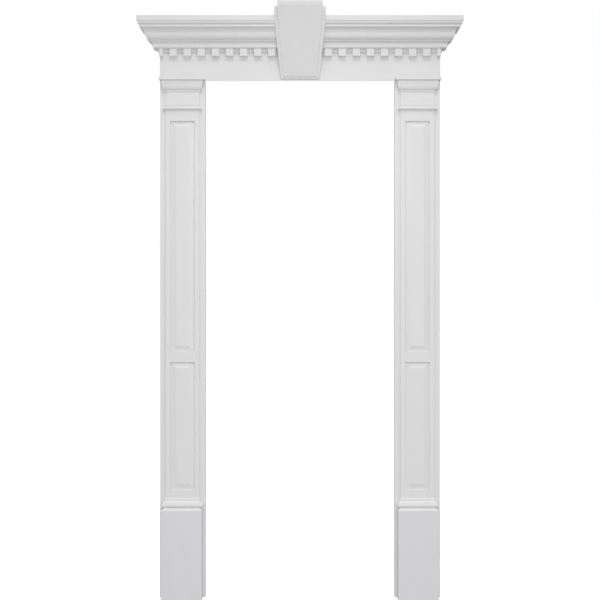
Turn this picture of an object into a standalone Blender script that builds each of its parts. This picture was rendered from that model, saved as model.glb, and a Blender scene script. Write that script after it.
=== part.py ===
"""Door surround: a keystoned crosshead on two panelled pilasters, in moulded and painted foam.

Metres, +Z up. The front looks along -Y, and the backs of the pieces lie in the wall plane, y = 0. The
pieces are placed from the floor line under an empty. It puts the origin of the whole surround in the
middle of the crosshead's back, where the surround is fixed to the wall.
"""

import math

import bmesh
import bpy

# Doorway and boards
OPENING_WIDTH = 0.914
OPENING_HEIGHT = 2.491
BOARD_THICKNESS = 0.020
FIT_GAP = 0.0003
OVERLAP = 0.004
ARC_STEPS = 8

# Pilaster shaft and its raised panels
SHAFT_WIDTH = 0.164
SHAFT_RELIEF = 0.011
MARGIN_WIDTH = 0.027
STILE_WIDTH = 0.0236
BOTTOM_RAIL = 0.040
LOWER_PANEL_HEIGHT = 0.6155
MIDDLE_RAIL = 0.048
TOP_RAIL = 0.052
RECESS_DEPTH = 0.0085
PANEL_MARGIN = 0.003
PANEL_BEVEL = 0.0255
PANEL_SET_BACK = 0.0002

# Pilaster base moulding, from the top down
BASE_BEVEL = 0.002
BASE_STEP = 0.004
BASE_BAND_HEIGHT = 0.009
BASE_COVE_WIDTH = 0.008
BASE_COVE_HEIGHT = 0.007
BASE_SECOND_BAND_HEIGHT = 0.005
BASE_FOOT_STEP = 0.005
BASE_FOOT_HEIGHT = 0.009
REVEAL_HEIGHT = 0.0085
REVEAL_DEPTH = 0.006

# Pilaster capital, from the top down
LIP_LAP = 0.0125
LIP_HEIGHT = 0.015
LIP_OVERHANG = 0.008
LIP_ROUNDING = 0.0025
CAP_FILLET_HEIGHT = 0.016
CAP_QUIRK = 0.001
CAP_OVOLO_WIDTH = 0.012
CAP_OVOLO_HEIGHT = 0.029
CAP_FOOT_STEP = 0.0035
CAP_FOOT_HEIGHT = 0.0075
NECK_HEIGHT = 0.064
GROOVE_HEIGHT = 0.0105
GROOVE_DEPTH = 0.0025
ASTRAGAL_SPREAD = 0.012
ASTRAGAL_HEIGHT = 0.014

# Plinth block
PLINTH_HEIGHT = 0.437
PLINTH_CHEEK = 0.0155
PLINTH_WALL = 0.031
PLINTH_CHAMFER = 0.013
PLINTH_CHAMFER_DROP = 0.009

# Crosshead profile, from the top down
CROSSHEAD_HEIGHT = 0.283
UNDERSIDE_RISE = 0.006
CROSSHEAD_OVERSAIL = 0.0015
FASCIA_HEIGHT = 0.025
FASCIA_STEP = 0.0025
OVOLO_WIDTH = 0.0075
OVOLO_HEIGHT = 0.0125
OVOLO_STEP = 0.002
FILLET_HEIGHT = 0.0125
CYMA_SOFFIT = 0.006
CYMA_CONCAVE_WIDTH = 0.015
CYMA_CONCAVE_HEIGHT = 0.0235
CYMA_CONVEX_WIDTH = 0.019
CYMA_CONVEX_HEIGHT = 0.025
LOW_FILLET_HEIGHT = 0.006
BED_SOFFIT = 0.007
BED_COVE_WIDTH = 0.005
BED_COVE_HEIGHT = 0.006
BED_FACE_HEIGHT = 0.0145
BED_ROUNDING = 0.008
BAND_HEIGHT = 0.013
BAND_PROJECTION = 0.008
DENTIL_PROJECTION = 0.014
DENTIL_WIDTH = 0.036
DENTIL_HEIGHT = 0.0355
DENTIL_PITCHES_TO_END = 10

# Keystone: a back tier, and a narrower and taller front tier
KEY_FOOT_MARGIN = 0.009
KEY_TOP_WIDTH = 0.2432
KEY_FOOT_WIDTH = 0.1876
KEY_RISE = 0.0355
KEY_SHOULDER = 0.0385
KEY_PROUD = 0.018
KEY_FOOT_RELIEF = 0.006
TIER_TOP_INSET = 0.0152
TIER_FOOT_INSET = 0.0136
TIER_RISE = 0.0185
TIER_SHOULDER = 0.031
TIER_FOOT_RISE = 0.0085
TIER_TOP_RELIEF = 0.023
TIER_FOOT_RELIEF = 0.006

# What follows from the sizes above
PILASTER_WIDTH = SHAFT_WIDTH + 2 * MARGIN_WIDTH
PILASTER_X = (OPENING_WIDTH + PILASTER_WIDTH) / 2
END_HALF = OPENING_WIDTH / 2 + PILASTER_WIDTH + CROSSHEAD_OVERSAIL
SHAFT_FRONT = BOARD_THICKNESS + SHAFT_RELIEF
CROSSHEAD_TOP = OPENING_HEIGHT + CROSSHEAD_HEIGHT
MOUNT_HEIGHT = OPENING_HEIGHT + CROSSHEAD_HEIGHT / 2

WHITE = (0.80, 0.80, 0.79, 1.0)
PAINT_ROUGHNESS = 0.45
SMOOTH_BELOW = math.radians(30)


def clear_scene():
    for obj in list(bpy.data.objects):
        bpy.data.objects.remove(obj, do_unlink=True)


def new_collection(name):
    collection = bpy.data.collections.new(name)
    bpy.context.scene.collection.children.link(collection)
    return collection


def painted(name):
    """White satin paint over moulded foam."""
    material = bpy.data.materials.new(name)
    material.use_nodes = True
    shader = material.node_tree.nodes["Principled BSDF"]
    shader.inputs["Base Color"].default_value = WHITE
    shader.inputs["Roughness"].default_value = PAINT_ROUGHNESS
    shader.inputs["Metallic"].default_value = 0.0
    return material


def arc(centre, radii, start, end):
    """Points (projection, height) along an elliptical arc between two angles in degrees."""
    points = []
    for step in range(ARC_STEPS + 1):
        angle = math.radians(start + (end - start) * step / ARC_STEPS)
        out = centre[0] + radii[0] * math.cos(angle)
        points.append((out, centre[1] + radii[1] * math.sin(angle)))
    return points


def mesh_object(name, bm, collection):
    bmesh.ops.recalc_face_normals(bm, faces=bm.faces)
    mesh = bpy.data.meshes.new(name)
    bm.to_mesh(mesh)
    bm.free()
    obj = bpy.data.objects.new(name, mesh)
    collection.objects.link(obj)
    return obj


def boxes(name, corner_pairs, collection):
    """One object of boxes, each a unit cube drawn out between its lowest and highest corners."""
    bm = bmesh.new()
    for lows, highs in corner_pairs:
        for vert in bmesh.ops.create_cube(bm, size=1.0)["verts"]:
            for axis in range(3):
                vert.co[axis] = lows[axis] if vert.co[axis] < 0 else highs[axis]
    return mesh_object(name, bm, collection)


def loft(name, sections, collection):
    """A solid through closed sections with the same number of points, capped at both ends."""
    bm = bmesh.new()
    rings = [[bm.verts.new(point) for point in section] for section in sections]
    for near, far in zip(rings, rings[1:]):
        for edge in range(len(near)):
            corner = (edge + 1) % len(near)
            bm.faces.new((near[edge], far[edge], far[corner], near[corner]))
    bm.faces.new(rings[0])
    bm.faces.new(rings[-1])
    return mesh_object(name, bm, collection)


def moulding(name, profile, half_width, front, back, collection):
    """A moulding along the front that returns round both ends with mitres.

    Each point (projection, height) of the profile, from the top down, gives the plan at its height: the
    core's rectangle grown by the projection, with its back held flat.
    """
    bm = bmesh.new()
    rings = []
    for projection, height in profile:
        side = half_width + projection
        nose = front + projection
        plan = ((-side, -back), (-side, -nose), (side, -nose), (side, -back))
        rings.append([bm.verts.new((x, y, height)) for x, y in plan])
    for upper, lower in zip(rings, rings[1:]):
        for edge in range(3):
            bm.faces.new((upper[edge], lower[edge], lower[edge + 1], upper[edge + 1]))
    bm.faces.new(rings[0])
    bm.faces.new(rings[-1])
    bm.faces.new([ring[0] for ring in rings] + [ring[3] for ring in reversed(rings)])
    return mesh_object(name, bm, collection)


def shape_with(obj, steps):
    """Adds a Boolean modifier for each (operation, helper) in turn."""
    for operation, helper in steps:
        modifier = obj.modifiers.new(helper.name, "BOOLEAN")
        modifier.operation = operation
        modifier.solver = "EXACT"
        modifier.object = helper
        helper.hide_render = True
        helper.display_type = "WIRE"


def baked_mesh(obj):
    """The object's mesh with its modifiers applied, for copies to share."""
    bpy.context.view_layer.update()
    graph = bpy.context.evaluated_depsgraph_get()
    mesh = bpy.data.meshes.new_from_object(obj.evaluated_get(graph))
    bpy.data.objects.remove(obj, do_unlink=True)
    return mesh


def crosshead_profile():
    """The crosshead's section, as points (projection past the frieze, height) from the top down.

    Returns the points, the crown's greatest projection and the height of the dentil band's top.
    """
    bed = BAND_PROJECTION + DENTIL_PROJECTION + BED_ROUNDING
    low_fillet = bed + BED_COVE_WIDTH + BED_SOFFIT
    cyma = low_fillet + CYMA_CONVEX_WIDTH + CYMA_CONCAVE_WIDTH
    fillet = cyma + CYMA_SOFFIT
    ovolo = fillet + OVOLO_STEP
    fascia = ovolo + OVOLO_WIDTH + FASCIA_STEP

    ovolo_top = CROSSHEAD_TOP - FASCIA_HEIGHT
    fillet_top = ovolo_top - OVOLO_HEIGHT
    cyma_top = fillet_top - FILLET_HEIGHT
    cyma_middle = cyma_top - CYMA_CONCAVE_HEIGHT
    cove_top = cyma_middle - CYMA_CONVEX_HEIGHT - LOW_FILLET_HEIGHT
    bed_top = cove_top - BED_COVE_HEIGHT
    bed_turn = bed_top - BED_FACE_HEIGHT
    band_top = bed_turn - BED_ROUNDING
    band_foot = band_top - BAND_HEIGHT

    points = [(fascia, CROSSHEAD_TOP), (fascia, ovolo_top)]
    points += arc((ovolo, ovolo_top), (OVOLO_WIDTH, OVOLO_HEIGHT), 0, -90)
    points += [(fillet, fillet_top), (fillet, cyma_top)]
    points += arc((cyma, cyma_middle), (CYMA_CONCAVE_WIDTH, CYMA_CONCAVE_HEIGHT), 90, 180)
    points += arc((low_fillet, cyma_middle), (CYMA_CONVEX_WIDTH, CYMA_CONVEX_HEIGHT), 0, -90)[1:]
    points += [(low_fillet, cove_top)]
    points += arc((bed + BED_COVE_WIDTH, bed_top), (BED_COVE_WIDTH, BED_COVE_HEIGHT), 90, 180)
    points += arc((bed - BED_ROUNDING, bed_turn), (BED_ROUNDING, BED_ROUNDING), 0, -90)
    points += [(BAND_PROJECTION, band_top), (BAND_PROJECTION, band_foot)]
    points += [(0.0, band_foot), (0.0, OPENING_HEIGHT)]
    return points, fascia, band_top


def grown(profile, gap):
    """The crosshead's section moved out by the gap, square to each of its runs, its top and its foot."""
    normals = [(0.0, 1.0)]
    for start, end in zip(profile, profile[1:]):
        length = math.dist(start, end)
        normals.append(((start[1] - end[1]) / length, (end[0] - start[0]) / length))
    normals.append((0.0, -1.0))
    moved = []
    for (out, up), above, below in zip(profile, normals, normals[1:]):
        reach = gap / (1 + above[0] * below[0] + above[1] * below[1])
        moved.append((out + (above[0] + below[0]) * reach, up + (above[1] + below[1]) * reach))
    return moved


def key_half_width(height):
    """Half the back tier's width at a height between its foot and its shoulder."""
    foot = OPENING_HEIGHT + KEY_FOOT_MARGIN
    shoulder = CROSSHEAD_TOP + KEY_RISE - KEY_SHOULDER
    share = (height - foot) / (shoulder - foot)
    return (KEY_FOOT_WIDTH + (KEY_TOP_WIDTH - KEY_FOOT_WIDTH) * share) / 2


def underside_cutter(helpers):
    """What is cut off the crosshead's underside, which rises from the face's foot to the wall."""
    front = -BOARD_THICKNESS - OVERLAP
    slope = UNDERSIDE_RISE / BOARD_THICKNESS
    rise_at_back = slope * (BOARD_THICKNESS + OVERLAP)
    low = OPENING_HEIGHT - 2 * OVERLAP
    outline = ((front, OPENING_HEIGHT - slope * OVERLAP), (OVERLAP, OPENING_HEIGHT + rise_at_back))
    outline += ((OVERLAP, low), (front, low))
    reach = END_HALF + OVERLAP
    sections = [[(side, y, z) for y, z in outline] for side in (-reach, reach)]
    return loft("underside_slope", sections, helpers)


def build_crosshead(profile, band_top, collection, helpers):
    """The crosshead, with a dentil at each pitch that the keystone leaves free and half ones at the ends."""
    body = moulding("crosshead", profile, END_HALF, BOARD_THICKNESS, 0.0, collection)
    pitch = END_HALF / DENTIL_PITCHES_TO_END
    nose = BOARD_THICKNESS + BAND_PROJECTION + DENTIL_PROJECTION
    spans = []
    for number in range(-DENTIL_PITCHES_TO_END, DENTIL_PITCHES_TO_END + 1):
        left = max(number * pitch - DENTIL_WIDTH / 2, -END_HALF)
        right = min(number * pitch + DENTIL_WIDTH / 2, END_HALF)
        nearest = max(left, -right)
        if nearest < key_half_width(band_top) + FIT_GAP:
            continue
        lows = (left, -nose, band_top - DENTIL_HEIGHT)
        spans.append((lows, (right, OVERLAP - BOARD_THICKNESS, band_top + OVERLAP)))
    steps = [("UNION", boxes("dentils", spans, helpers)), ("DIFFERENCE", underside_cutter(helpers))]
    shape_with(body, steps)
    return body


def key_tier(name, widths, heights, noses, collection):
    """A keystone tier, from its top to the foot of its upright shoulder and on to its narrow foot."""
    sections = []
    for width, height, nose in zip(widths, heights, noses):
        side = width / 2
        plan = ((-side, 0.0), (-side, -nose), (side, -nose), (side, 0.0))
        sections.append([(x, y, height) for x, y in plan])
    return loft(name, sections, collection)


def build_keystone(profile, fascia, collection, helpers):
    """The keystone, its back cut to fit over the crosshead's section and flat on the wall above it."""
    foot = OPENING_HEIGHT + KEY_FOOT_MARGIN
    top = CROSSHEAD_TOP + KEY_RISE
    nose = BOARD_THICKNESS + fascia + KEY_PROUD
    foot_nose = BOARD_THICKNESS + KEY_FOOT_RELIEF
    widths = (KEY_TOP_WIDTH, KEY_TOP_WIDTH, KEY_FOOT_WIDTH)
    body = key_tier("keystone", widths, (top, top - KEY_SHOULDER, foot), (nose, nose, foot_nose), collection)

    tier_top = top + TIER_RISE
    tier_nose = nose + TIER_TOP_RELIEF
    tier_top_width = KEY_TOP_WIDTH - 2 * TIER_TOP_INSET
    tier_widths = (tier_top_width, tier_top_width, KEY_FOOT_WIDTH - 2 * TIER_FOOT_INSET)
    tier_heights = (tier_top, tier_top - TIER_SHOULDER, foot + TIER_FOOT_RISE)
    tier_noses = (tier_nose, tier_nose, foot_nose + TIER_FOOT_RELIEF)
    tier = key_tier("front_tier", tier_widths, tier_heights, tier_noses, helpers)

    section = grown(profile, FIT_GAP)
    scribe = moulding("crosshead_scribe", section, END_HALF, BOARD_THICKNESS, -OVERLAP, helpers)
    shape_with(body, [("UNION", tier), ("DIFFERENCE", scribe)])
    return body


def panel_recess(name, foot, top, helpers):
    """The cutter of a panel: its recess, less the bevelled field that stays standing in it."""
    floor = SHAFT_FRONT - RECESS_DEPTH
    stages = [(0.0, SHAFT_FRONT + OVERLAP), (0.0, floor), (PANEL_MARGIN, floor)]
    stages += [(PANEL_MARGIN + PANEL_BEVEL, SHAFT_FRONT - PANEL_SET_BACK)]
    sections = []
    for inset, nose in stages:
        side = SHAFT_WIDTH / 2 - STILE_WIDTH - inset
        low, high = foot + inset, top - inset
        sections.append([(-side, -nose, low), (side, -nose, low), (side, -nose, high), (-side, -nose, high)])
    return loft(name, sections, helpers)


def base_moulding(foot, neck_foot, helpers):
    """The base: a bevelled band, a cove, a second band and a bevelled foot, with a neck set back under it.

    The neck stands in the reveal over the plinth block. Returns the base and its top.
    """
    second = BASE_STEP + BASE_COVE_WIDTH
    spread = second + BASE_FOOT_STEP
    second_foot = foot + BASE_FOOT_HEIGHT + BASE_BEVEL
    cove_foot = second_foot + BASE_SECOND_BAND_HEIGHT
    cove_top = cove_foot + BASE_COVE_HEIGHT
    top = cove_top + BASE_BAND_HEIGHT + BASE_BEVEL
    points = [(-OVERLAP, top), (0.0, top), (BASE_STEP, top - BASE_BEVEL)]
    points += arc((second, cove_top), (BASE_COVE_WIDTH, BASE_COVE_HEIGHT), 180, 270)
    points += [(second, second_foot), (spread, foot + BASE_FOOT_HEIGHT), (spread, foot)]
    points += [(spread - REVEAL_DEPTH, foot), (spread - REVEAL_DEPTH, neck_foot)]
    return moulding("base", points, SHAFT_WIDTH / 2, SHAFT_FRONT, BOARD_THICKNESS / 2, helpers), top


def cap_moulding(top, helpers):
    """The capital's fillet, quirk and ovolo, which fall to a small foot. Returns it and its foot."""
    ovolo = CAP_FOOT_STEP + CAP_OVOLO_WIDTH
    fillet_foot = top - CAP_FILLET_HEIGHT
    foot = fillet_foot - CAP_OVOLO_HEIGHT - CAP_FOOT_HEIGHT
    points = [(ovolo + CAP_QUIRK, top + OVERLAP), (ovolo + CAP_QUIRK, fillet_foot)]
    points += arc((CAP_FOOT_STEP, fillet_foot), (CAP_OVOLO_WIDTH, CAP_OVOLO_HEIGHT), 0, -90)
    points += [(CAP_FOOT_STEP, foot)]
    return moulding("cap", points, SHAFT_WIDTH / 2, SHAFT_FRONT, BOARD_THICKNESS / 2, helpers), foot


def astragal_moulding(top, helpers):
    """The half-round bead under the neck. Returns it and its foot."""
    radius = ASTRAGAL_HEIGHT / 2
    points = [(-OVERLAP, top)]
    points += arc((0.0, top - radius), (ASTRAGAL_SPREAD, radius), 90, -90)
    points += [(-OVERLAP, top - ASTRAGAL_HEIGHT)]
    bead = moulding("astragal", points, SHAFT_WIDTH / 2, SHAFT_FRONT, BOARD_THICKNESS / 2, helpers)
    return bead, top - ASTRAGAL_HEIGHT


def capital_lip(top, foot, helpers):
    """The lip across the whole pilaster, which stands in front of the crosshead's lower edge."""
    front = SHAFT_FRONT + CAP_FOOT_STEP + CAP_OVOLO_WIDTH + CAP_QUIRK + LIP_OVERHANG
    points = arc((-LIP_ROUNDING, top - LIP_ROUNDING), (LIP_ROUNDING, LIP_ROUNDING), 90, 0)
    points += [(0.0, foot)]
    return moulding("lip", points, PILASTER_WIDTH / 2, front, BOARD_THICKNESS / 2, helpers)


def pilaster_mesh(collection, helpers):
    """A pilaster about its own centre line, from the floor to the crosshead."""
    half = PILASTER_WIDTH / 2
    shaft_half = SHAFT_WIDTH / 2
    lip_top = OPENING_HEIGHT + LIP_LAP
    lip_foot = lip_top - LIP_HEIGHT
    head = OPENING_HEIGHT + OVERLAP
    board_span = ((-half, -BOARD_THICKNESS, 0.0), (half, 0.0, head))
    shaft_span = ((-shaft_half, -SHAFT_FRONT, 0.0), (shaft_half, -BOARD_THICKNESS / 2, head))
    rebate_lows = (-half - OVERLAP, -BOARD_THICKNESS - FIT_GAP, OPENING_HEIGHT - FIT_GAP)
    rebate_span = (rebate_lows, (half + OVERLAP, OVERLAP, lip_top + OVERLAP))

    base, base_top = base_moulding(PLINTH_HEIGHT + REVEAL_HEIGHT, PLINTH_HEIGHT + FIT_GAP, helpers)
    cap, cap_foot = cap_moulding(lip_foot, helpers)
    groove_top = cap_foot - NECK_HEIGHT
    groove_foot = groove_top - GROOVE_HEIGHT
    groove_lows = (-half - OVERLAP, -SHAFT_FRONT - OVERLAP, groove_foot)
    groove_span = (groove_lows, (half + OVERLAP, GROOVE_DEPTH - SHAFT_FRONT, groove_top))
    astragal, astragal_foot = astragal_moulding(groove_foot, helpers)
    lower_foot = base_top + BOTTOM_RAIL
    lower_top = lower_foot + LOWER_PANEL_HEIGHT
    lower = panel_recess("lower_panel", lower_foot, lower_top, helpers)
    upper = panel_recess("upper_panel", lower_top + MIDDLE_RAIL, astragal_foot - TOP_RAIL, helpers)

    body = boxes("board", [board_span], collection)
    steps = [("UNION", boxes("shaft", [shaft_span], helpers))]
    steps += [("DIFFERENCE", boxes("neck_groove", [groove_span], helpers))]
    steps += [("UNION", base), ("UNION", astragal)]
    steps += [("UNION", cap), ("UNION", capital_lip(lip_top, lip_foot, helpers))]
    steps += [("DIFFERENCE", boxes("frieze_rebate", [rebate_span], helpers))]
    steps += [("DIFFERENCE", lower), ("DIFFERENCE", upper)]
    shape_with(body, steps)
    return baked_mesh(body)


def plinth_mesh(collection, helpers):
    """A plinth block with a chamfered top, hollowed at the back to slide over the foot of the shaft."""
    half = SHAFT_WIDTH / 2 + PLINTH_CHEEK
    front = SHAFT_FRONT + PLINTH_WALL
    back = BOARD_THICKNESS + FIT_GAP
    points = [(-PLINTH_CHAMFER, PLINTH_HEIGHT), (0.0, PLINTH_HEIGHT - PLINTH_CHAMFER_DROP), (0.0, 0.0)]
    body = moulding("plinth", points, half, front, back, collection)
    channel_half = SHAFT_WIDTH / 2 + FIT_GAP
    channel_lows = (-channel_half, -SHAFT_FRONT - FIT_GAP, -OVERLAP)
    channel_span = (channel_lows, (channel_half, OVERLAP - back, PLINTH_HEIGHT + OVERLAP))
    shape_with(body, [("DIFFERENCE", boxes("shaft_channel", [channel_span], helpers))])
    return baked_mesh(body)


def placed_pair(name, mesh, collection):
    """The same piece at the left and at the right of the doorway."""
    pair = []
    for side, x in (("left", -PILASTER_X), ("right", PILASTER_X)):
        obj = bpy.data.objects.new(f"{name}_{side}", mesh)
        obj.location.x = x
        collection.objects.link(obj)
        pair.append(obj)
    return pair


def main():
    clear_scene()
    collection = new_collection("door_surround")
    helpers = new_collection("cutters")

    profile, fascia, band_top = crosshead_profile()
    crosshead = build_crosshead(profile, band_top, collection, helpers)
    keystone = build_keystone(profile, fascia, collection, helpers)
    pilasters = placed_pair("pilaster", pilaster_mesh(collection, helpers), collection)
    plinths = placed_pair("plinth_block", plinth_mesh(collection, helpers), collection)

    finishes = {"crosshead": crosshead, "keystone": keystone}
    finishes.update({"pilaster": pilasters[0], "plinth_block": plinths[0]})
    for name, piece in finishes.items():
        piece.data.materials.clear()
        piece.data.materials.append(painted(f"{name}_paint"))
        piece.data.shade_smooth()
        piece.data.set_sharp_from_angle(angle=SMOOTH_BELOW)

    floor_line = bpy.data.objects.new("floor_line", None)
    floor_line.location.z = -MOUNT_HEIGHT
    collection.objects.link(floor_line)
    for piece in [crosshead, keystone, *pilasters, *plinths, *helpers.objects]:
        piece.parent = floor_line


main()
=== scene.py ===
"""Door surround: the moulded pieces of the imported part, dressed in white factory primer.

Every piece is made from its CAD solid: the solid's flat faces are joined up again, its arrises are eased as
a mould leaves them, and it is shaded smooth. Lengths are in metres in the row frame, with +Z up and the
front towards -Y.
"""

import math

import bmesh
import bpy
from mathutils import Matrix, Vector


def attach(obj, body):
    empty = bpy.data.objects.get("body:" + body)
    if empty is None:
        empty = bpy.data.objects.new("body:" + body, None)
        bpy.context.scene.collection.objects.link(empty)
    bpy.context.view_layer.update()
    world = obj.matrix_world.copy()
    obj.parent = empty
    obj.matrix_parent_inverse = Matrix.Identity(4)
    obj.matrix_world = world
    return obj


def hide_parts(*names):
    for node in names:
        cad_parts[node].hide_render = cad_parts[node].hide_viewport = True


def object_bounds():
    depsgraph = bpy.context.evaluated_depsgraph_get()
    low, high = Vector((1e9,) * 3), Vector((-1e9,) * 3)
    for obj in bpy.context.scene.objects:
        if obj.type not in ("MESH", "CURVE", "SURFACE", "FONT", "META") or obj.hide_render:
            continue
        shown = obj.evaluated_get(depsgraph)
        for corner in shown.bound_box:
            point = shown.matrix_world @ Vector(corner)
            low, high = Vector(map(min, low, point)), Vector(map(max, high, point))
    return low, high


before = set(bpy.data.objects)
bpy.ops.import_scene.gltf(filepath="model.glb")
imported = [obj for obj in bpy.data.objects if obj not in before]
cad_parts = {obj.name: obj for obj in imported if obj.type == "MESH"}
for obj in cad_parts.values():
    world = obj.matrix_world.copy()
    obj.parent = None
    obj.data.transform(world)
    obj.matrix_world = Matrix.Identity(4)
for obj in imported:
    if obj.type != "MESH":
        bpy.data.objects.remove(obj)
CAD_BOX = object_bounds()

bl_info = {
    "name": "Door surround",
    "version": (1, 0, 0),
    "blender": (4, 5, 0),
    "location": "View3D > Sidebar > Door surround",
    "description": "Dresses a keystoned crosshead on two pilasters and sets its studio",
    "category": "Object",
}

BODY = "root"
MILLIMETRE = 0.001

# Cleaning up the solids before their arrises are eased
WELD_DISTANCE = 0.01 * MILLIMETRE
FLAT_WITHIN = math.radians(0.5)

# Which edges are arrises: sharp ones, and blunter ones where both faces are broad
ARRIS_ANGLE = math.radians(25)
BLUNT_ARRIS_ANGLE = math.radians(5)
BROAD_FACE = 15 * MILLIMETRE
ARRIS_SEGMENTS = 3
FLAT_FACE_WEIGHT = 100

# The primer's drifts of thinner coat, and its stipple. The real stipple is about 2 mm, too fine for the
# render, so it is drawn broader.
DRIFT_WIDTH = 45 * MILLIMETRE
DRIFT_LENGTH = 300 * MILLIMETRE
STIPPLE_WIDTH = 14 * MILLIMETRE
STIPPLE_RELIEF = 0.25 * MILLIMETRE

# The photograph's view: straight on, at eye height, at the middle of the doorway
VIEW_DISTANCE = 3.6
EYE_HEIGHT = 1.434
LENS = 44.5
SENSOR = 36.0

# The white paper: how much of it glows, and how strongly the rest answers the lights
STAGE_REACH = 30.0
FLOOR_GLOW = 0.7
BACKDROP_GLOW = 1.0
PAPER_ANSWER = 1.35
DOME_SEGMENTS = 48
FLOOR_Z = CAD_BOX[0].z

# Lamps: diameters, places, and what they face
KEY_DIAMETER = 0.5
FILL_DIAMETER = 1.0
END_DIAMETER = 0.2
KEY_RISE = 2.2
MIDDLE_RISE = -0.2
FILL_RISE = -2.0
ASIDE = 0.1
END_PLACE = (-1.55, -0.03, -0.35)
DOORWAY_MIDDLE = (0.0, 0.0, -1.2)
CROWN_END = (CAD_BOX[0].x, -0.06, 0.06)


def linear(code):
    """An sRGB hex colour as linear red, green and blue."""
    channels = []
    for start in (0, 2, 4):
        value = int(code[start:start + 2], 16) / 255
        low = value <= 0.04045
        channels.append(value / 12.92 if low else ((value + 0.055) / 1.055) ** 2.4)
    return tuple(channels)


def add_node(tree, kind, settings=None, sockets=None):
    """Adds a node, with its settings, and with a value or a link for each of its sockets."""
    made = tree.nodes.new(kind)
    for name, value in (settings or {}).items():
        setattr(made, name, value)
    for name, value in (sockets or {}).items():
        if isinstance(value, bpy.types.NodeSocket):
            tree.links.new(value, made.inputs[name])
        else:
            made.inputs[name].default_value = value
    return made


def length(label, default, description):
    """A length that a user may change."""
    return bpy.props.FloatProperty(
        name=label, description=description, default=default, min=0.0, unit="LENGTH", precision=4
    )


def amount(label, default, description):
    """A plain factor that a user may change."""
    return bpy.props.FloatProperty(name=label, description=description, default=default, min=0.0)


def power(label, default, description):
    """A lamp's power that a user may change."""
    return bpy.props.FloatProperty(
        name=label, description=description, default=default, min=0.0, unit="POWER"
    )


def colour(label, code, description):
    """A colour that a user may change."""
    return bpy.props.FloatVectorProperty(
        name=label, description=description, default=linear(code), subtype="COLOR", min=0.0, max=1.0
    )


class SurroundFinish(bpy.types.PropertyGroup):
    """Edges and paint of the moulded pieces."""

    arris: length("Arris radius", 1.2 * MILLIMETRE, "Radius that the mould leaves on each arris")
    primer: colour("Primer", "ebebeb", "White factory primer on crosshead, keystone and pilasters")
    thin_primer: colour("Thin primer", "e6e6e6", "The same primer where the coat is thinner")
    # The plinth blocks carry the same primer painted a little darker and cooler. This is painted shade for
    # the lesser light near the floor.
    plinth_primer_painted_shade: colour("Plinth primer", "e7e7e9", "White factory primer on the plinth blocks")
    plinth_thin_primer_painted_shade: colour("Plinth thin primer", "e2e2e4", "The same primer where it is thinner")


class SurroundStage(bpy.types.PropertyGroup):
    """Light, floor and backdrop."""

    tent: amount("Light tent", 0.232, "Brightness of the light tent all round")
    tent_above: amount("Tent above", 0.83, "What the tent adds from straight above")
    tent_front: amount("Tent in front", 0.365, "What the tent adds from straight in front")
    tent_right: amount("Tent at the right", 0.06, "What the tent adds from the right")
    key_power: power("Key light", 13.3, "Power of the light in front and above")
    key_reach: length("Key light distance", 2.4, "Distance of the key light in front of the wall")
    middle_power: power("Middle light", 2.7, "Power of the small light in the middle of the doorway")
    middle_reach: length("Middle light distance", 1.2, "Distance of the middle light in front of the wall")
    fill_power: power("Low fill light", 7.2, "Power of the light near the floor")
    fill_reach: length("Low fill light distance", 2.4, "Distance of the low fill light in front of the wall")
    end_power: power("Crown end light", 2.2, "Power of the small light beside the crown's left end")
    floor: colour("Floor", "ffffff", "The pale floor")
    backdrop: colour("Backdrop", "ffffff", "The backdrop behind the surround")


def breadth(face):
    """A face's area over its longest reach, which is the width of a strip."""
    corners = [vert.co for vert in face.verts]
    reach = max((near - far).length for near in corners for far in corners)
    return face.calc_area() / reach


def mark_arrises(bm, blunt):
    """Marks the edges to ease: every sharp one, and those above the blunt angle between broad faces.

    A curved moulding's narrow facets meet bluntly too. Those edges stay unmarked, so the curve is
    smooth.
    """
    marks = bm.edges.layers.float.new("bevel_weight_edge")
    for edge in bm.edges:
        angle = edge.calc_face_angle(0.0)
        broad = all(breadth(face) > BROAD_FACE for face in edge.link_faces)
        if angle > ARRIS_ANGLE or (angle > blunt and broad):
            edge[marks] = 1.0


def eased_piece(name, node, arris, blunt):
    """A new piece in a CAD node's place: its solid with flat faces joined and its arrises eased."""
    bm = bmesh.new()
    bm.from_mesh(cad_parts[node].data)
    bmesh.ops.remove_doubles(bm, verts=bm.verts, dist=WELD_DISTANCE)
    bmesh.ops.dissolve_limit(bm, angle_limit=FLAT_WITHIN, verts=bm.verts, edges=bm.edges)
    bmesh.ops.recalc_face_normals(bm, faces=bm.faces)
    for face in bm.faces:
        face.smooth = True
    for edge in bm.edges:
        edge.smooth = True
    mark_arrises(bm, blunt)
    mesh = bpy.data.meshes.new(name)
    bm.to_mesh(mesh)
    bm.free()
    # The solid's own marks for flat shading would show through the eased arrises.
    for spare in ("custom_normal", "sharp_edge", "sharp_face"):
        if spare in mesh.attributes:
            mesh.attributes.remove(mesh.attributes[spare])
    obj = bpy.data.objects.new(name, mesh)
    bpy.context.scene.collection.objects.link(obj)

    bevel = obj.modifiers.new("eased_arrises", "BEVEL")
    bevel.width = arris
    bevel.segments = ARRIS_SEGMENTS
    bevel.limit_method = "WEIGHT"
    bevel.use_clamp_overlap = True
    flat = obj.modifiers.new("flat_faces_stay_flat", "WEIGHTED_NORMAL")
    flat.mode = "FACE_AREA_WITH_ANGLE"
    flat.weight = FLAT_FACE_WEIGHT
    return obj


def dress(name, node, material, arris, blunt=BLUNT_ARRIS_ANGLE):
    """Makes the piece that stands for a CAD node, paints it and lets it ride where the node does."""
    piece = eased_piece(name, node, arris, blunt)
    piece.data.materials.append(material)
    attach(piece, BODY)
    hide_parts(node)
    return piece


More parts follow.
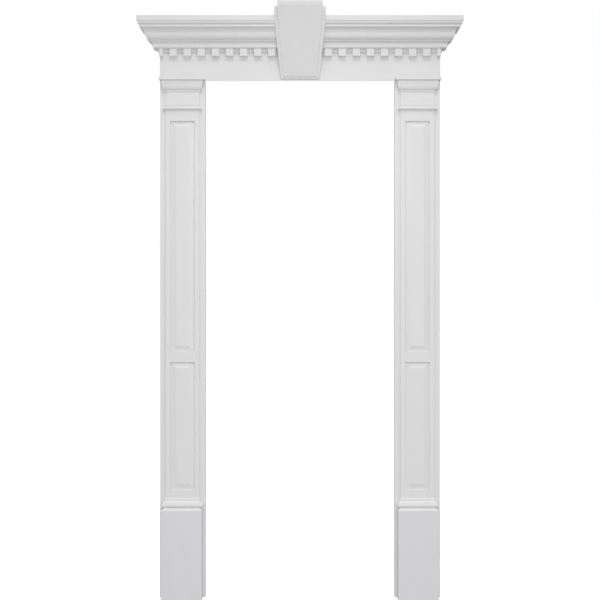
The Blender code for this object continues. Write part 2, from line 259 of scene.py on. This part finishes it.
def primed_polyurethane(name, coat, thin_coat, grain_along):
    """High-density polyurethane foam, moulded and sprayed with white factory primer.

    To the eye it is an even, slightly chalky white with a low sheen. The spray leaves a fine stipple, and
    the coat is a little thinner in drifts. grain_along is the axis that the piece was rubbed down along,
    which draws the drifts out.
    """
    material = bpy.data.materials.new(name)
    material.use_nodes = True
    tree = material.node_tree
    tree.nodes.clear()
    place = add_node(tree, "ShaderNodeTexCoord").outputs["Object"]

    # Drifts of thinner coat
    drift_scale = [1 / DRIFT_WIDTH] * 3
    drift_scale[grain_along] = 1 / DRIFT_LENGTH
    stretched = add_node(tree, "ShaderNodeMapping", {}, {"Vector": place, "Scale": drift_scale})
    drifts = add_node(
        tree,
        "ShaderNodeTexNoise",
        {},
        {"Vector": stretched.outputs["Vector"], "Scale": 1.0, "Detail": 3.0, "Roughness": 0.55},
    )
    tone = add_node(
        tree,
        "ShaderNodeMix",
        {"data_type": "RGBA"},
        {"Factor": drifts.outputs["Fac"], 6: (*coat, 1.0), 7: (*thin_coat, 1.0)},
    )

    # The stipple, which lifts the surface a little and breaks up its sheen
    stipple = add_node(
        tree,
        "ShaderNodeTexNoise",
        {},
        {"Vector": place, "Scale": 1 / STIPPLE_WIDTH, "Detail": 4.0, "Roughness": 0.6},
    )
    sheen = add_node(
        tree,
        "ShaderNodeMapRange",
        {},
        {
            "Value": stipple.outputs["Fac"],
            "From Min": 0.3,
            "From Max": 0.7,
            "To Min": 0.42,
            "To Max": 0.54,
        },
    )
    relief = add_node(
        tree,
        "ShaderNodeBump",
        {},
        {"Height": stipple.outputs["Fac"], "Strength": 0.35, "Distance": STIPPLE_RELIEF},
    )
    shader = add_node(
        tree,
        "ShaderNodeBsdfPrincipled",
        {},
        {
            "Base Color": tone.outputs[2],
            "Roughness": sheen.outputs["Result"],
            "Normal": relief.outputs["Normal"],
            "IOR": 1.5,
            "Metallic": 0.0,
        },
    )
    add_node(tree, "ShaderNodeOutputMaterial", {}, {"Surface": shader.outputs["BSDF"]})
    return material


def glowing_paper(name, tint, glow):
    """Seamless white studio paper, lit evenly from behind so that it stays white in the picture.

    What glows does not answer the lights; the rest of the white is the paper's own matt surface.
    """
    material = bpy.data.materials.new(name)
    material.use_nodes = True
    tree = material.node_tree
    tree.nodes.clear()
    own = (1 - glow) * PAPER_ANSWER
    sockets = {"Base Color": (*[channel * own for channel in tint], 1.0), "Roughness": 0.9}
    sockets.update({"Emission Color": (*tint, 1.0), "Emission Strength": glow, "Specular IOR Level": 0.0})
    shader = add_node(tree, "ShaderNodeBsdfPrincipled", {}, sockets)
    add_node(tree, "ShaderNodeOutputMaterial", {}, {"Surface": shader.outputs["BSDF"]})
    return material


class SURROUND_OT_crosshead(bpy.types.Operator):
    """Make the crosshead"""

    bl_idname = "surround.crosshead"
    bl_label = "Crosshead"

    def execute(self, context):
        finish = context.scene.surround_finish
        paint = primed_polyurethane("primed_polyurethane_crosshead", finish.primer, finish.thin_primer, 0)
        dress("crosshead_moulding", "crosshead", paint, finish.arris)
        return {"FINISHED"}


class SURROUND_OT_keystone(bpy.types.Operator):
    """Make the keystone"""

    bl_idname = "surround.keystone"
    bl_label = "Keystone"

    def execute(self, context):
        finish = context.scene.surround_finish
        paint = primed_polyurethane("primed_polyurethane_keystone", finish.primer, finish.thin_primer, 2)
        # The crease under the keystone's head is hardly seen, so it is left soft.
        dress("keystone_casting", "keystone", paint, finish.arris, ARRIS_ANGLE)
        return {"FINISHED"}


class SURROUND_OT_pilasters(bpy.types.Operator):
    """Make both pilasters"""

    bl_idname = "surround.pilasters"
    bl_label = "Pilasters"

    def execute(self, context):
        finish = context.scene.surround_finish
        paint = primed_polyurethane("primed_polyurethane_pilaster", finish.primer, finish.thin_primer, 2)
        for side in ("left", "right"):
            name, node = f"panelled_pilaster_{side}", f"pilaster_{side}"
            dress(name, node, paint, finish.arris)
        return {"FINISHED"}


class SURROUND_OT_plinth_blocks(bpy.types.Operator):
    """Make both plinth blocks"""

    bl_idname = "surround.plinth_blocks"
    bl_label = "Plinth blocks"

    def execute(self, context):
        finish = context.scene.surround_finish
        # The darker plinth primers paint in the shade that falls on the plinth blocks near the floor.
        paint = primed_polyurethane(
            "primed_polyurethane_plinth_block", finish.plinth_primer_painted_shade, finish.plinth_thin_primer_painted_shade, 2
        )
        for side in ("left", "right"):
            name, node = f"chamfered_plinth_{side}", f"plinth_block_{side}"
            dress(name, node, paint, finish.arris)
        return {"FINISHED"}


def stage_object(name, bm, material):
    """An object of the studio that only the camera sees, so it neither lights nor shades the surround."""
    mesh = bpy.data.meshes.new(name)
    bm.to_mesh(mesh)
    bm.free()
    mesh.materials.append(material)
    obj = bpy.data.objects.new(name, mesh)
    bpy.context.scene.collection.objects.link(obj)
    for ray in ("diffuse", "glossy", "transmission", "volume_scatter", "shadow"):
        setattr(obj, f"visible_{ray}", False)
    return obj


def lay_floor(tint):
    """The paper floor under the plinth blocks."""
    bm = bmesh.new()
    bmesh.ops.create_grid(bm, x_segments=1, y_segments=1, size=STAGE_REACH)
    floor = stage_object("floor", bm, glowing_paper("white_paper_floor", tint, FLOOR_GLOW))
    floor.location.z = FLOOR_Z


def hang_backdrop(tint):
    """The paper all round, so that the surround stands before white from every side."""
    bm = bmesh.new()
    bmesh.ops.create_uvsphere(
        bm, u_segments=DOME_SEGMENTS, v_segments=DOME_SEGMENTS // 2, radius=STAGE_REACH
    )
    bmesh.ops.reverse_faces(bm, faces=bm.faces)
    stage_object("backdrop_dome", bm, glowing_paper("white_paper_backdrop", tint, BACKDROP_GLOW))


def raise_light_tent(settings):
    """Soft light from all round, with more of it from above and in front, and a little from the right."""
    world = bpy.data.worlds.new("light_tent")
    world.use_nodes = True
    tree = world.node_tree
    tree.nodes.clear()
    direction = add_node(tree, "ShaderNodeTexCoord").outputs["Generated"]
    level = settings.tent
    for share, towards in (
        (settings.tent_above, (0.0, 0.0, 1.0)),
        (settings.tent_front, (0.0, -1.0, 0.0)),
        (settings.tent_right, (1.0, 0.0, 0.0)),
    ):
        facing = add_node(
            tree, "ShaderNodeVectorMath", {"operation": "DOT_PRODUCT"}, {0: direction, 1: towards}
        ).outputs["Value"]
        lit_side = add_node(
            tree, "ShaderNodeMath", {"operation": "MAXIMUM"}, {0: facing, 1: 0.0}
        ).outputs[0]
        level = add_node(
            tree, "ShaderNodeMath", {"operation": "MULTIPLY_ADD"}, {0: lit_side, 1: share, 2: level}
        ).outputs[0]
    light = add_node(tree, "ShaderNodeBackground", {}, {"Color": (1.0, 1.0, 1.0, 1.0), "Strength": level})
    add_node(tree, "ShaderNodeOutputWorld", {}, {"Surface": light.outputs["Background"]})
    bpy.context.scene.world = world


def hang_lamp(name, power_watts, diameter, place, target):
    """A round soft light that faces a point of the surround."""
    lamp = bpy.data.lights.new(name, "AREA")
    lamp.shape = "DISK"
    lamp.size = diameter
    lamp.energy = power_watts
    obj = bpy.data.objects.new(name, lamp)
    obj.location = place
    obj.rotation_euler = (obj.location - Vector(target)).to_track_quat("Z", "Y").to_euler()
    bpy.context.scene.collection.objects.link(obj)


def place_camera():
    """The photograph's own view."""
    camera = bpy.data.cameras.new("camera")
    camera.lens = LENS
    camera.sensor_width = SENSOR
    camera.clip_end = 3 * STAGE_REACH
    obj = bpy.data.objects.new("camera", camera)
    obj.location = (0.0, -VIEW_DISTANCE, FLOOR_Z + EYE_HEIGHT)
    obj.rotation_euler = (math.radians(90), 0.0, 0.0)
    bpy.context.scene.collection.objects.link(obj)
    bpy.context.scene.camera = obj


class SURROUND_OT_stage(bpy.types.Operator):
    """Set the floor, the backdrop, the lights and the camera"""

    bl_idname = "surround.stage"
    bl_label = "Stage"

    def execute(self, context):
        settings = context.scene.surround_stage
        lay_floor(settings.floor)
        hang_backdrop(settings.backdrop)
        raise_light_tent(settings)
        above = (0.0, -settings.key_reach, KEY_RISE)
        middle = (ASIDE, -settings.middle_reach, MIDDLE_RISE)
        low = (ASIDE, -settings.fill_reach, FILL_RISE)
        hang_lamp("key_light", settings.key_power, KEY_DIAMETER, above, DOORWAY_MIDDLE)
        hang_lamp("middle_light", settings.middle_power, KEY_DIAMETER, middle, DOORWAY_MIDDLE)
        hang_lamp("low_fill_light", settings.fill_power, FILL_DIAMETER, low, DOORWAY_MIDDLE)
        hang_lamp("crown_end_light", settings.end_power, END_DIAMETER, END_PLACE, CROWN_END)
        place_camera()
        # The plain transform keeps the white paper white, as it is in the photograph.
        context.scene.view_settings.view_transform = "Standard"
        return {"FINISHED"}


class SURROUND_PT_panel(bpy.types.Panel):
    """Sizes, colours and steps of the door surround"""

    bl_label = "Door surround"
    bl_idname = "SURROUND_PT_panel"
    bl_space_type = "VIEW_3D"
    bl_region_type = "UI"
    bl_category = "Door surround"

    def draw(self, context):
        for group in (context.scene.surround_finish, context.scene.surround_stage):
            box = self.layout.box()
            for name in group.__annotations__:
                box.prop(group, name)
        for step in STEPS:
            self.layout.operator(step.bl_idname)


STEPS = (
    SURROUND_OT_crosshead,
    SURROUND_OT_keystone,
    SURROUND_OT_pilasters,
    SURROUND_OT_plinth_blocks,
    SURROUND_OT_stage,
)
CLASSES = (SurroundFinish, SurroundStage, *STEPS, SURROUND_PT_panel)


def register():
    for cls in CLASSES:
        bpy.utils.register_class(cls)
    bpy.types.Scene.surround_finish = bpy.props.PointerProperty(type=SurroundFinish)
    bpy.types.Scene.surround_stage = bpy.props.PointerProperty(type=SurroundStage)


def unregister():
    del bpy.types.Scene.surround_stage
    del bpy.types.Scene.surround_finish
    for cls in reversed(CLASSES):
        bpy.utils.unregister_class(cls)


def main():
    register()
    for step in (
        bpy.ops.surround.crosshead,
        bpy.ops.surround.keystone,
        bpy.ops.surround.pilasters,
        bpy.ops.surround.plinth_blocks,
        bpy.ops.surround.stage,
    ):
        step()


if __name__ == "__main__":
    main()
